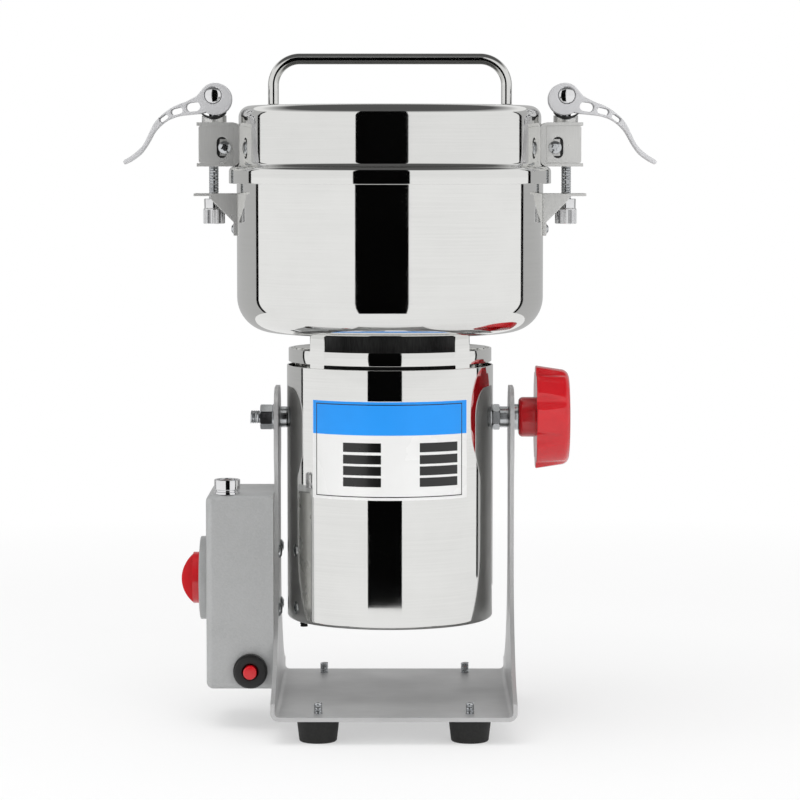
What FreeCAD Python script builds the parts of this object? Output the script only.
import FreeCAD, Part

# Swing-type grain mill: a bowl with a clamped lid on a motor can, which tilts in a bent
# steel stand with a control box on its left arm. Millimetres, +Z up, +X right, and the
# front towards -Y. The origin is on the floor, under the axis of the upright bowl.

import math
import operator
import os

import Sketcher
from FreeCAD import Placement, Rotation, Vector

CELLS = {
    # Stand
    "foot_height": (13.7, "rubber foot, floor to stand plate"),
    "foot_top_radius": (12.5, "rubber foot at the plate"),
    "foot_tip_radius": (11.9, "rubber foot at the floor"),
    "foot_pitch_x": (88.4, "feet, left to right"),
    "foot_pitch_y": (150.0, "feet, front to back"),
    "foot_bolt_radius": (2.5, "bolt through each foot"),
    "foot_bolt_tip": (6.0, "bolt end standing above the plate"),
    "foot_head_radius": (4.6, "bolt head inside the foot"),
    "foot_head_height": (3.5, "bolt head height"),
    "foot_head_recess": (2.0, "bolt head above the floor"),
    "stand_shift": (2.5, "stand centre right of the bowl axis"),
    "stand_width": (143.0, "stand, outside of arm to outside of arm"),
    "stand_depth": (180.0, "stand plate, front to back"),
    "stand_plate": (2.5, "thickness of the bent sheet"),
    "stand_bend": (2.5, "inside radius of the two bends"),
    "flank_rise": (10.3, "arm's straight edge at its foot"),
    "neck_low_rise": (91.3, "where the curved flank becomes the neck"),
    "neck_half": (20.0, "half width of the arm's neck"),
    "neck_top_drop": (35.4, "top of the neck below the pivot"),
    "head_low_drop": (21.4, "where the arm's head is full width, below the pivot"),
    "head_half": (27.0, "half width of the arm's head"),
    "head_over": (18.6, "arm's top edge above the pivot"),
    "head_round": (17.0, "corner radius of the arm's head"),
    "pivot_rise": (169.7, "tilt axis above the stand's underside"),
    # Control box on the left arm
    "box_width": (40.0, "box, arm to outer face"),
    "box_depth": (70.0, "box, front to back"),
    "box_height": (116.0, "box, bottom to top"),
    "box_rise": (10.3, "box bottom above the stand's underside"),
    "box_shift": (-3.0, "box middle in Y"),
    "box_wall": (1.8, "box sheet"),
    "box_round": (4.0, "outer edge radius of the box"),
    "box_back": (1.5, "plate that closes the box against the arm"),
    "box_screw_radius": (2.0, "screws from the arm into the box"),
    "box_screw_head": (4.0, "screw head radius"),
    "box_screw_reach": (8.0, "screw length past the arm"),
    "box_screw_pitch_y": (28.0, "screws, front to back"),
    "box_screw_pitch_z": (35.0, "screws, bottom to top"),
    "box_screw_rise": (55.3, "lower screws above the stand's underside"),
    "dial_radius": (25.0, "round dial plate"),
    "dial_thick": (5.0, "dial plate thickness"),
    "dial_rise": (72.8, "dial centre above the stand's underside"),
    "timer_shaft_radius": (3.0, "timer shaft"),
    "timer_radius": (19.0, "timer works, round case"),
    "timer_depth": (24.0, "timer works, depth"),
    "knob_disc_radius": (15.5, "timer knob's base disc"),
    "knob_disc_thick": (4.0, "timer knob's base disc thickness"),
    "knob_gap": (0.4, "knob off the dial plate"),
    "knob_fin_rise": (7.0, "height of the knob's grip"),
    "knob_fin_width": (9.0, "width of the knob's grip"),
    "breaker_out": (13.7, "breaker button from the arm"),
    "breaker_rise": (21.7, "breaker button above the stand's underside"),
    "breaker_ring_radius": (10.25, "black ring round the button"),
    "breaker_ring_thick": (6.0, "ring, box face to ring face"),
    "breaker_depth": (30.0, "breaker works behind the box face"),
    "breaker_side": (16.0, "breaker works, width and height"),
    "button_radius": (4.0, "reset button"),
    "button_out": (4.5, "reset button beyond its ring"),
    "button_travel": (2.5, "reset button's stroke"),
    "inlet_out": (27.6, "power inlet from the arm"),
    "inlet_back": (9.0, "power inlet behind the box front"),
    "inlet_radius": (7.7, "power inlet's barrel"),
    "inlet_height": (8.7, "power inlet above the box"),
    "inlet_wall": (1.4, "barrel wall of the power inlet"),
    "inlet_tail": (12.0, "power inlet's insulator below the box top"),
    "pin_radius": (0.9, "contact pin of the power inlet"),
    "pin_circle": (3.4, "pins from the inlet's middle"),
    # Tilt pivot
    "stud_radius": (4.0, "M8 pivot stud"),
    "stud_left_end": (83.6, "left stud's end, from the bowl axis"),
    "bore_gap": (0.05, "running clearance of a bearing bore"),
    "hex_radius": (7.5, "pivot nut, centre to corner"),
    "hex_thick": (7.3, "left pivot nut's thickness"),
    "washer_radius": (7.8, "washers on the arms"),
    "washer_thick": (1.7, "left washer"),
    "washer_right_thick": (3.2, "right washer"),
    "spacer_radius": (6.35, "bush between can and arm"),
    "side_gap": (0.1, "play between bush and arm"),
    "flange_nut_radius": (7.75, "nut against the can, right"),
    "flange_nut_thick": (4.0, "its thickness"),
    "hub_radius": (12.0, "hub of the lock knob"),
    "hub_length": (10.2, "hub, washer to knob"),
    "lock_knob_radius": (31.0, "lock knob at its widest"),
    "lock_knob_width": (20.0, "lock knob's width"),
    "lock_knob_taper": (3.0, "radius lost to the outer face"),
    "lock_knob_round": (4.0, "rounding of the knob's outer rim"),
    "lobe_count": (8, "grip lobes round the lock knob"),
    "lobe_cut_radius": (6.5, "radius of each groove between lobes"),
    "lobe_cut_out": (34.5, "grooves' centres from the knob axis"),
    "lock_stud_reach": (14.0, "lock stud inside the can's wall"),
    # Motor can and neck
    "can_radius": (61.9, "motor can, outside"),
    "can_wall": (0.9, "motor can's wall"),
    "can_over": (31.9, "can's open rim above the pivot"),
    "can_under": (120.6, "can's bottom below the pivot"),
    "can_round": (2.5, "rounding of the can's bottom edge"),
    "can_lip": (15.8, "width of the can's turned-in bottom"),
    "fit_gap": (0.1, "clearance between pieces that slide together"),
    "hole_gap": (0.5, "clearance of a hole that something passes"),
    "collar_wall": (1.5, "neck collar's wall"),
    "neck_rise": (51.6, "bowl's bottom above the pivot"),
    "window_top_height": (9.7, "upper windows, up to the bowl"),
    "ring_band": (7.9, "closed band between the window rows"),
    "window_low_height": (12.4, "lower windows"),
    "post_width": (12.0, "posts between the windows"),
    # Motor
    "trunnion_height": (15.0, "ring that takes the pivot studs"),
    "trunnion_width": (12.9, "radial width of that ring"),
    "bell_radius": (47.9, "motor housing, outside"),
    "bell_wall": (3.5, "motor housing's wall"),
    "bell_flange": (3.1, "upper housing's flange"),
    "bell_neck_radius": (44.0, "black core under the bowl"),
    "bell_roof": (5.5, "thickness under the bowl"),
    "stator_bore": (24.6, "stator's bore"),
    "stator_length": (56.0, "stator stack"),
    "stator_low": (47.2, "stator above the can's bottom"),
    "coil_radius": (34.0, "field coils' mean radius"),
    "coil_thick": (4.0, "field coils' section radius"),
    "rotor_radius": (24.0, "rotor core"),
    "rotor_length": (52.0, "rotor core"),
    "shaft_radius": (5.0, "motor shaft"),
    "bearing_radius": (13.0, "bearings, outside"),
    "bearing_width": (8.0, "bearings"),
    "bearing_low": (19.2, "lower bearing above the can's bottom"),
    "bearing_high_drop": (22.0, "upper bearing's top below the bowl"),
    "bell_low": (17.2, "lower housing above the can's bottom"),
    "bell_low_height": (30.0, "lower housing"),
    "commutator_low": (29.2, "commutator above the can's bottom"),
    "commutator_radius": (12.0, "commutator"),
    "commutator_length": (11.0, "commutator"),
    "brush_side": (8.0, "brush holder, width and height"),
    "brush_wall": (1.0, "brush holder's wall"),
    "fan_radius": (38.0, "cooling fan"),
    "fan_low": (6.2, "fan above the can's bottom"),
    "fan_height": (8.0, "cooling fan"),
    "fan_plate": (1.5, "fan's plate"),
    "fan_blades": (9, "blades on the fan"),
    "cover_radius": (50.0, "vented bottom cover"),
    "cover_thick": (1.2, "bottom cover"),
    "vent_count": (10, "vent slots in the cover"),
    "vent_length": (16.0, "vent slots"),
    "vent_width": (5.0, "vent slots"),
    "vent_radius": (30.0, "vent slots from the axis"),
    "cover_screw_circle": (48.0, "cover screws from the axis"),
    "gland_out": (52.0, "cable gland, left of the axis"),
    "gland_radius": (2.6, "cable gland"),
    "gland_drop": (6.5, "cable gland below the can"),
    # Bowl and blades
    "bowl_radius": (91.65, "bowl, outside"),
    "bowl_depth": (89.6, "bowl, bottom to flange"),
    "bowl_wall": (1.5, "bowl's wall"),
    "bowl_round": (21.0, "bowl's bottom corner, outside"),
    "bowl_flange_width": (2.95, "bowl's flange beyond its wall"),
    "shaft_hole": (12.0, "hole in the bowl's floor"),
    "shoulder_radius": (8.0, "shaft's shoulder under the blades"),
    "shoulder_gap": (2.0, "shoulder above the bowl's floor"),
    "shoulder_height": (4.0, "shaft's shoulder"),
    "blade_span": (150.0, "blades, tip to tip"),
    "blade_width": (22.0, "blades"),
    "blade_thick": (2.0, "blades"),
    "blade_bend": (12.0, "upper blade's bent tips, height"),
    "blade_gap": (5.0, "distance piece between the blades"),
    "blade_nut_radius": (9.0, "blade nut, centre to corner"),
    "blade_nut_height": (8.0, "blade nut"),
    # Lid
    "rim_lap": (1.0, "lid's rim below the bowl's flange"),
    "rim_overhang": (1.7, "lid's rim beyond the bowl's flange"),
    "rim_height": (6.7, "lid's straight rim"),
    "shoulder_rise": (6.7, "height of the lid's S-shaped shoulder"),
    "lid_step": (5.9, "lid's wall inside its rim"),
    "lid_height": (46.2, "lid, rim to top"),
    "lid_round": (7.0, "lid's top corner"),
    "lid_wall": (1.2, "lid's wall"),
    "seal_width": (6.4, "silicone seal under the lid"),
    "seal_height": (5.0, "silicone seal before it is squeezed"),
    "handle_radius": (3.25, "handle's round rod"),
    "handle_half": (69.6, "handle's legs from the axis"),
    "handle_rise": (31.2, "top of the handle above the lid"),
    "handle_bend": (15.75, "handle's bends, at the rod's middle"),
    "label_height": (58.0, "label on the can"),
    "label_angle": (94.0, "label's share of the can, in degrees"),
    "label_thick": (0.3, "label"),
    "label_drop": (15.2, "label's middle below the pivot"),
    # Clamps
    "clamp_out": (15.0, "clamp rod outside the lid's wall"),
    "bracket_width": (24.0, "upper bracket, front to back"),
    "bracket_back": (2.4, "bracket's back plate beyond the lid"),
    "bracket_reach": (24.5, "bracket beyond the lid"),
    "bracket_plate": (2.0, "bracket's plates"),
    "bracket_drop": (36.1, "bracket's underside below the lid's top"),
    "bracket_height": (26.2, "bracket, bottom to top"),
    "bracket_round": (4.5, "bracket's bends, outside"),
    "cheek_thick": (1.5, "cheek plates"),
    "cheek_reach": (19.2, "cheek plates from the back plate"),
    "cheek_round": (5.0, "cheek plates' outer corners"),
    "slot_width": (6.3, "oblong hole in the cheeks"),
    "slot_height": (12.6, "oblong hole in the cheeks"),
    "slot_out": (9.4, "oblong hole outside the lid's wall"),
    "slot_drop": (24.8, "oblong hole below the lid's top"),
    "cheek_screw_out": (7.8, "cheek screw outside the lid's wall"),
    "cheek_screw_radius": (1.5, "cheek screw"),
    "cheek_head_radius": (3.85, "cheek screw's head"),
    "cheek_head_height": (2.4, "cheek screw's head"),
    "lug_height": (10.0, "lug that the cheeks are screwed to"),
    "rod_radius": (3.0, "M6 clamp rod"),
    "rod_slot": (7.0, "slots that the rod swings out of"),
    "seat_radius": (7.7, "seat ring and saddle"),
    "seat_height": (4.2, "seat ring"),
    "trough_radius": (10.0, "trough in the seat ring"),
    "swing_over": (7.4, "rod's swing axis above the seat ring"),
    "saddle_gap": (0.3, "saddle off the trough"),
    "saddle_over": (3.3, "saddle above the seat ring"),
    "pin_over": (4.5, "lever pin above the swing axis"),
    "pin_barrel": (5.0, "lever pin's radius"),
    "lever_width": (14.0, "lever's fork, front to back"),
    "fork_gap": (6.8, "slot in the lever's fork"),
    "cam_radius": (9.65, "lever's cam"),
    "cam_in": (1.3, "cam's centre inward of the pin"),
    "cam_down": (2.2, "cam's centre below the pin"),
    "cam_room": (0.3, "saddle off the turning cam"),
    "lever_reach": (53.9, "lever's tip outside the pin"),
    "lever_drop": (39.6, "lever's tip below the pin"),
    "knee_out": (24.0, "lever's knee outside the pin"),
    "knee_drop": (7.6, "lever's knee below the pin"),
    "knee_thick": (6.7, "lever's thickness at its knee"),
    "heel_out": (42.0, "lever's lower bend outside the pin"),
    "heel_drop": (31.2, "lever's lower bend below the pin"),
    "heel_thick": (2.8, "lever's thickness at the lower bend"),
    "nut_drop": (57.0, "clamp nut's top below the swing axis"),
    "nut_radius": (6.7, "knurled clamp nut"),
    "nut_length": (9.6, "knurled part of the clamp nut"),
    "nut_neck": (5.4, "smooth neck of the clamp nut"),
    "nut_neck_radius": (5.3, "smooth neck of the clamp nut"),
    "rod_tip": (2.5, "rod below its nut"),
    "fork_under": (1.6, "fork plate above the clamp nut"),
    "fork_plate": (1.6, "fork bracket's sheet"),
    "fork_reach": (11.6, "fork plate outside the rod"),
    "fork_width": (22.0, "fork bracket, front to back"),
    "fork_back": (25.2, "fork bracket's height on the bowl"),
    "gusset_rise": (15.5, "height of the fork bracket's sides"),
    "rivet_radius": (3.0, "rivet head"),
    "rivet_height": (1.5, "rivet head"),
    "rivet_drop": (4.0, "rivets above the bracket's lower edge"),
}

doc = FreeCAD.newDocument("grain_mill")
sheet = doc.addObject("Spreadsheet::Sheet", "Sizes")
for row, (alias, (amount, meaning)) in enumerate(CELLS.items(), 1):
    sheet.set(f"A{row}", meaning)
    sheet.set(f"B{row}", str(amount))
    sheet.setAlias(f"B{row}", alias)
doc.recompute()


class Size:
    """A length with the sheet expression that gives it, so that sums stay tied to the sheet."""

    def __init__(self, value, rule):
        self.value = value
        self.rule = rule

    def __add__(self, other):
        return joined(self, "+", other)

    def __radd__(self, other):
        return joined(other, "+", self)

    def __sub__(self, other):
        return joined(self, "-", other)

    def __rsub__(self, other):
        return joined(other, "-", self)

    def __mul__(self, other):
        return joined(self, "*", other)

    def __rmul__(self, other):
        return joined(other, "*", self)

    def __truediv__(self, other):
        return joined(self, "/", other)

    def __neg__(self):
        return joined(0, "-", self)


SIGNS = {"+": operator.add, "-": operator.sub, "*": operator.mul, "/": operator.truediv}


def as_size(number):
    if isinstance(number, Size):
        return number
    return Size(float(number), f"({number})")


def joined(left, sign, right):
    left, right = as_size(left), as_size(right)
    return Size(SIGNS[sign](left.value, right.value), f"({left.rule} {sign} {right.rule})")


def root(size):
    return Size(math.sqrt(size.value), f"sqrt({size.rule})")


def cosine(angle):
    angle = as_size(angle)
    return Size(math.cos(math.radians(angle.value)), f"cos({angle.rule})")


def sine(angle):
    angle = as_size(angle)
    return Size(math.sin(math.radians(angle.value)), f"sin({angle.rule})")


class Cells:
    """The sheet's cells, each as a Size under its alias."""

    def __getattr__(self, alias):
        return Size(float(sheet.get(alias)), f"Sizes.{alias}")


s = Cells()

# Directions that a piece built upright can be turned to.
UPRIGHT = Rotation()
ALONG_X = Rotation(Vector(0, 1, 0), 90)
AGAINST_X = Rotation(Vector(0, 1, 0), -90)
ALONG_Y = Rotation(Vector(1, 0, 0), -90)
AGAINST_Y = Rotation(Vector(1, 0, 0), 90)

# A cutting tool runs this far past the face that it opens.
PAST = 1.0


def tie(obj, prop, size):
    """Set a property to a size, and keep it tied to the sheet."""
    size = as_size(size)
    if "Sizes." in size.rule:
        obj.setExpression(prop, size.rule)
    elif prop.startswith("Placement"):
        return
    else:
        setattr(obj, prop, size.value)


def place(obj, at=(0, 0, 0), turn=UPRIGHT):
    spot = [as_size(part) for part in at]
    obj.Placement = Placement(Vector(*(part.value for part in spot)), turn)
    for letter, part in zip("xyz", spot):
        tie(obj, f"Placement.Base.{letter}", part)
    return obj


def cylinder(name, radius, length, at=(0, 0, 0), turn=UPRIGHT):
    obj = doc.addObject("Part::Cylinder", name)
    tie(obj, "Radius", radius)
    tie(obj, "Height", length)
    return place(obj, at, turn)


def hexagon(name, corner, length, at, turn=UPRIGHT):
    obj = doc.addObject("Part::Prism", name)
    obj.Polygon = 6
    tie(obj, "Circumradius", corner)
    tie(obj, "Height", length)
    return place(obj, at, turn)


def block(name, low, size, turn=UPRIGHT):
    obj = doc.addObject("Part::Box", name)
    for prop, part in zip(("Length", "Width", "Height"), size):
        tie(obj, prop, part)
    return place(obj, low, turn)


def cut(name, base, *tools):
    for tool in tools:
        obj = doc.addObject("Part::Cut", name)
        obj.Base, obj.Tool = base, tool
        base = obj
    return base


def fuse(name, *parts):
    obj = doc.addObject("Part::MultiFuse", name)
    obj.Shapes = list(parts)
    obj.Refine = True
    return obj


def common(name, *parts):
    obj = doc.addObject("Part::MultiCommon", name)
    obj.Shapes = list(parts)
    return obj


def group(name, parts):
    obj = doc.addObject("Part::Compound", name)
    obj.Links = list(parts)
    return obj


def mirrored(name, source):
    """The left-hand twin of a piece on the right."""
    obj = doc.addObject("Part::Mirroring", name)
    obj.Source = source
    obj.Normal = Vector(1, 0, 0)
    return obj


def both_sides(name, right):
    return group(name, [right, mirrored(name + "_twin", right)])


def arc_between(start, end, radius, left):
    """The short arc from start to end, which turns left or right."""
    chord = end - start
    along = chord.Length / 2
    rise = math.sqrt(max(radius * radius - along * along, 0.0))
    normal = Vector(-chord.y, chord.x, 0).normalize()
    centre = (start + end) / 2 + normal * (rise if left else -rise)
    first, last = (start, end) if left else (end, start)
    low = math.atan2(first.y - centre.y, first.x - centre.x)
    high = math.atan2(last.y - centre.y, last.x - centre.x)
    return Part.ArcOfCircle(Part.Circle(centre, Vector(0, 0, 1), radius), low, high)


def drawn(body, plane, steps):
    """Close a sketch through its steps. A step is a corner, or the end of an arc with the
    arc's radius and whether it turns left."""
    sketch = body.newObject("Sketcher::SketchObject", body.Name + "_outline")
    origin_plane = [f for f in body.Origin.OriginFeatures if f.Role == plane][0]
    sketch.AttachmentSupport = [(origin_plane, "")]
    sketch.MapMode = "FlatFace"
    spots = [[as_size(part) for part in step[:2]] for step in steps]
    points = [Vector(x.value, y.value, 0) for x, y in spots]
    heads = []
    tails = []
    for number, step in enumerate(steps):
        start, end = points[number - 1], points[number]
        if len(step) == 4:
            radius, left = as_size(step[2]), step[3]
            edge = sketch.addGeometry(arc_between(start, end, radius.value, left), False)
            rule = sketch.addConstraint(Sketcher.Constraint("Radius", edge, radius.value))
            sketch.setExpression(f"Constraints[{rule}]", radius.rule)
            heads.append((edge, 1 if left else 2))
            tails.append((edge, 2 if left else 1))
        else:
            edge = sketch.addGeometry(Part.LineSegment(start, end), False)
            heads.append((edge, 1))
            tails.append((edge, 2))
    for number, spot in enumerate(spots):
        follower = heads[(number + 1) % len(steps)]
        sketch.addConstraint(Sketcher.Constraint("Coincident", *tails[number], *follower))
        for kind, part in zip(("DistanceX", "DistanceY"), spot):
            rule = sketch.addConstraint(
                Sketcher.Constraint(kind, -1, 1, *tails[number], part.value)
            )
            if "Sizes." in part.rule:
                sketch.setExpression(f"Constraints[{rule}]", part.rule)
    return sketch


def turned(name, steps, at=(0, 0, 0), turn=UPRIGHT):
    """A body turned on a lathe: steps give (radius, height) round its own Z axis."""
    body = doc.addObject("PartDesign::Body", name)
    sketch = drawn(body, "XZ_Plane", steps)
    feature = body.newObject("PartDesign::Revolution", name + "_turning")
    feature.Profile = sketch
    feature.ReferenceAxis = (sketch, ["V_Axis"])
    feature.Angle = 360
    return place(body, at, turn)


def padded(name, plane, steps, depth, at=(0, 0, 0), one_way=False):
    """A body with one outline, as deep to both sides of its plane or to one."""
    body = doc.addObject("PartDesign::Body", name)
    sketch = drawn(body, plane, steps)
    feature = body.newObject("PartDesign::Pad", name + "_pad")
    feature.Profile = sketch
    feature.SideType = "One side" if one_way else "Symmetric"
    tie(feature, "Length", depth)
    return place(body, at)


def pocketed(body, name, plane, steps):
    """Cut an outline right through a body, to both sides of its plane."""
    sketch = drawn(body, plane, steps)
    feature = body.newObject("PartDesign::Pocket", name)
    feature.Profile = sketch
    feature.SideType = "Symmetric"
    feature.Type = "ThroughAll"
    return body


def ring(name, outer, inner, low, height):
    """A plain ring round the bowl axis."""
    tool = cylinder(name + "_bore", inner, height + 2 * PAST, (0, 0, low - PAST))
    return cut(name, cylinder(name + "_blank", outer, height, (0, 0, low)), tool)


def oblong(name, long_way, short_way, depth):
    """A flat-sided hole with round ends, long in X and as deep to both sides of Y."""
    lane = (long_way - short_way) / 2
    ends = [cylinder(name + "_end", short_way / 2, depth, (side * lane, -depth / 2, 0), ALONG_Y)
            for side in (-1, 1)]
    middle = block(name + "_middle", (-lane, -depth / 2, -short_way / 2),
                   (2 * lane, depth, short_way))
    return fuse(name, middle, *ends)


def around(count, radius, start=0.0):
    """Places evenly round the bowl axis, each with its angle."""
    for number in range(count):
        angle = start + 360.0 * number / count
        yield angle, radius * cosine(angle), radius * sine(angle)


# Heights and sides that several pieces share.
PIVOT = s.foot_height + s.pivot_rise
ARM_LEFT = s.stand_shift - s.stand_width / 2
ARM_RIGHT = s.stand_shift + s.stand_width / 2
PLATE_TOP = s.foot_height + s.stand_plate
CAN_LOW = PIVOT - s.can_under
CAN_RIM = PIVOT + s.can_over
CAN_INSIDE = s.can_radius - s.can_wall
BOWL_LOW = PIVOT + s.neck_rise
BOWL_FLOOR = BOWL_LOW + s.bowl_wall
FLANGE = BOWL_LOW + s.bowl_depth
RIM_LOW = FLANGE - s.rim_lap
LID_TOP = RIM_LOW + s.lid_height
FLANGE_RADIUS = s.bowl_radius + s.bowl_flange_width
RIM_RADIUS = FLANGE_RADIUS + s.rim_overhang
LID_RADIUS = RIM_RADIUS - s.lid_step
ROD_X = LID_RADIUS + s.clamp_out
BRACKET_LOW = LID_TOP - s.bracket_drop
SEAT_LOW = BRACKET_LOW + s.bracket_height
SEAT_TOP = SEAT_LOW + s.seat_height
SWING = SEAT_TOP + s.swing_over
PIN = SWING + s.pin_over
NUT_TOP = SWING - s.nut_drop
FORK_LOW = NUT_TOP + s.fork_under
FORK_TOP = FORK_LOW + s.fork_plate

# Stand: one sheet bent to a U, with wide feet, narrow necks and round heads on its arms.
arm_top = PIVOT + s.head_over
bend_out = s.stand_bend + s.stand_plate
stand_frame = padded("stand_frame", "XZ_Plane", [
    (ARM_LEFT, arm_top),
    (ARM_LEFT, s.foot_height + bend_out),
    (ARM_LEFT + bend_out, s.foot_height, bend_out, True),
    (ARM_RIGHT - bend_out, s.foot_height),
    (ARM_RIGHT, s.foot_height + bend_out, bend_out, True),
    (ARM_RIGHT, arm_top),
    (ARM_RIGHT - s.stand_plate, arm_top),
    (ARM_RIGHT - s.stand_plate, s.foot_height + bend_out),
    (ARM_RIGHT - bend_out, PLATE_TOP, s.stand_bend, False),
    (ARM_LEFT + bend_out, PLATE_TOP),
    (ARM_LEFT + s.stand_plate, s.foot_height + bend_out, s.stand_bend, False),
    (ARM_LEFT + s.stand_plate, arm_top),
], s.stand_depth)
half_depth = s.stand_depth / 2
flank_in = half_depth - s.neck_half
flank_up = s.neck_low_rise - s.flank_rise
flank_radius = (flank_in * flank_in + flank_up * flank_up) / (2 * flank_in)
flank_low = s.foot_height + s.flank_rise
neck_low = s.foot_height + s.neck_low_rise
pocketed(stand_frame, "arm_outline", "YZ_Plane", [
    (-half_depth - PAST, flank_low),
    (-half_depth, flank_low),
    (-s.neck_half, neck_low, flank_radius, True),
    (-s.neck_half, PIVOT - s.neck_top_drop),
    (-s.head_half, PIVOT - s.head_low_drop),
    (-s.head_half, arm_top - s.head_round),
    (-s.head_half + s.head_round, arm_top, s.head_round, False),
    (s.head_half - s.head_round, arm_top),
    (s.head_half, arm_top - s.head_round, s.head_round, False),
    (s.head_half, PIVOT - s.head_low_drop),
    (s.neck_half, PIVOT - s.neck_top_drop),
    (s.neck_half, neck_low),
    (half_depth, flank_low, flank_radius, True),
    (half_depth + PAST, flank_low),
    (half_depth + PAST, arm_top + PAST),
    (-half_depth - PAST, arm_top + PAST),
])

foot_places = []
for side_x in (-0.5, 0.5):
    for side_y in (-0.5, 0.5):
        foot_places.append((s.stand_shift + side_x * s.foot_pitch_x, side_y * s.foot_pitch_y))
screw_places = []
for side_y in (-0.5, 0.5):
    for step_z in (0, 1):
        screw_y = s.box_shift + side_y * s.box_screw_pitch_y
        screw_places.append(
            (screw_y, s.foot_height + s.box_screw_rise + step_z * s.box_screw_pitch_z)
        )

bolt_bore = s.foot_bolt_radius + s.fit_gap
frame_tools = []
feet = []
bolts = []
for x, y in foot_places:
    frame_tools.append(cylinder("bolt_hole", bolt_bore, s.stand_plate + 2 * PAST,
                                (x, y, s.foot_height - PAST)))
    foot = doc.addObject("Part::Cone", "foot")
    tie(foot, "Radius1", s.foot_tip_radius)
    tie(foot, "Radius2", s.foot_top_radius)
    tie(foot, "Height", s.foot_height)
    place(foot, (x, y, 0))
    recess_top = s.foot_head_recess + s.foot_head_height
    recess = cylinder("foot_recess", s.foot_head_radius + s.fit_gap, recess_top + PAST,
                      (x, y, -PAST))
    bore = cylinder("foot_bore", bolt_bore, s.foot_height + 2 * PAST, (x, y, -PAST))
    feet.append(cut("rubber_foot", foot, recess, bore))
    bolt_head = cylinder("foot_bolt_head", s.foot_head_radius, s.foot_head_height,
                         (x, y, s.foot_head_recess))
    bolt_shank = cylinder("foot_bolt_shank", s.foot_bolt_radius,
                          PLATE_TOP + s.foot_bolt_tip - s.foot_head_recess,
                          (x, y, s.foot_head_recess))
    bolts.append(fuse("foot_bolt", bolt_head, bolt_shank))
for y, z in screw_places:
    frame_tools.append(cylinder("screw_hole", s.box_screw_radius + s.fit_gap,
                                s.stand_plate + 2 * PAST, (ARM_LEFT - PAST, y, z), ALONG_X))
frame_tools.append(cylinder("pivot_hole", s.stud_radius + s.bore_gap,
                            s.stand_width + 2 * PAST, (ARM_LEFT - PAST, 0, PIVOT), ALONG_X))

# Control box: a five-sided housing, closed by a plate against the arm.
BOX_OUT = ARM_LEFT - s.box_width
BOX_FRONT = s.box_shift - s.box_depth / 2
BOX_LOW = s.foot_height + s.box_rise
BOX_TOP = BOX_LOW + s.box_height
DIAL_Z = s.foot_height + s.dial_rise
box_blank = doc.addObject("PartDesign::Body", "box_blank")
box_solid = box_blank.newObject("PartDesign::AdditiveBox", "box_solid")
tie(box_solid, "Length", s.box_width)
tie(box_solid, "Width", s.box_depth)
tie(box_solid, "Height", s.box_height)
doc.recompute()


def outer_edges(shape, far_x):
    """The edges of a block that aren't on its face at far_x."""
    return [f"Edge{number}" for number, edge in enumerate(shape.Edges, 1)
            if edge.BoundBox.XMin < far_x - 0.01]


box_rounding = box_blank.newObject("PartDesign::Fillet", "box_rounding")
box_rounding.Base = (box_solid, outer_edges(box_solid.Shape, s.box_width.value))
tie(box_rounding, "Radius", s.box_round)
place(box_blank, (BOX_OUT, BOX_FRONT, BOX_LOW))
INLET_X = ARM_LEFT - s.inlet_out
INLET_Y = BOX_FRONT + s.inlet_back
BREAKER_X = ARM_LEFT - s.breaker_out
BREAKER_Z = s.foot_height + s.breaker_rise
box_space = block(
    "box_space",
    (BOX_OUT + s.box_wall, BOX_FRONT + s.box_wall, BOX_LOW + s.box_wall),
    (s.box_width - s.box_wall - s.box_back, s.box_depth - 2 * s.box_wall,
     s.box_height - 2 * s.box_wall),
)
box_mouth = block(
    "box_mouth",
    (ARM_LEFT - s.box_back, BOX_FRONT + s.box_wall / 2, BOX_LOW + s.box_wall / 2),
    (s.box_back + PAST, s.box_depth - s.box_wall, s.box_height - s.box_wall),
)
timer_bore = cylinder("timer_bore", s.timer_shaft_radius + s.hole_gap,
                      s.box_wall + 2 * PAST, (BOX_OUT - PAST, s.box_shift, DIAL_Z), ALONG_X)
inlet_hole = cylinder("inlet_hole", s.inlet_radius - s.inlet_wall, s.box_wall + 2 * PAST,
                      (INLET_X, INLET_Y, BOX_TOP - s.box_wall - PAST))
breaker_hole = cylinder("breaker_hole", s.button_radius + s.hole_gap,
                        s.box_wall + 2 * PAST, (BREAKER_X, BOX_FRONT - PAST, BREAKER_Z), ALONG_Y)
box_housing = cut("box_housing", box_blank, box_space, box_mouth, timer_bore, inlet_hole,
                  breaker_hole)
back_blank = block(
    "back_blank",
    (ARM_LEFT - s.box_back, BOX_FRONT + s.box_wall / 2, BOX_LOW + s.box_wall / 2),
    (s.box_back, s.box_depth - s.box_wall, s.box_height - s.box_wall),
)
back_tools = []
box_screws = []
for y, z in screw_places:
    back_tools.append(cylinder("back_hole", s.box_screw_radius + s.fit_gap,
                               s.box_back + 2 * PAST, (ARM_LEFT - s.box_back - PAST, y, z),
                               ALONG_X))
    shank = cylinder("box_screw_shank", s.box_screw_radius,
                     s.box_screw_reach + s.stand_plate, (ARM_LEFT - s.box_screw_reach, y, z),
                     ALONG_X)
    head = cylinder("box_screw_head", s.box_screw_head, s.box_screw_radius,
                    (ARM_LEFT + s.stand_plate, y, z), ALONG_X)
    nut = hexagon("box_screw_nut", s.box_screw_head, s.box_screw_radius,
                  (ARM_LEFT - s.box_back - s.box_screw_radius, y, z), ALONG_X)
    box_screws.append(fuse("box_screw", shank, head, nut))

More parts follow.
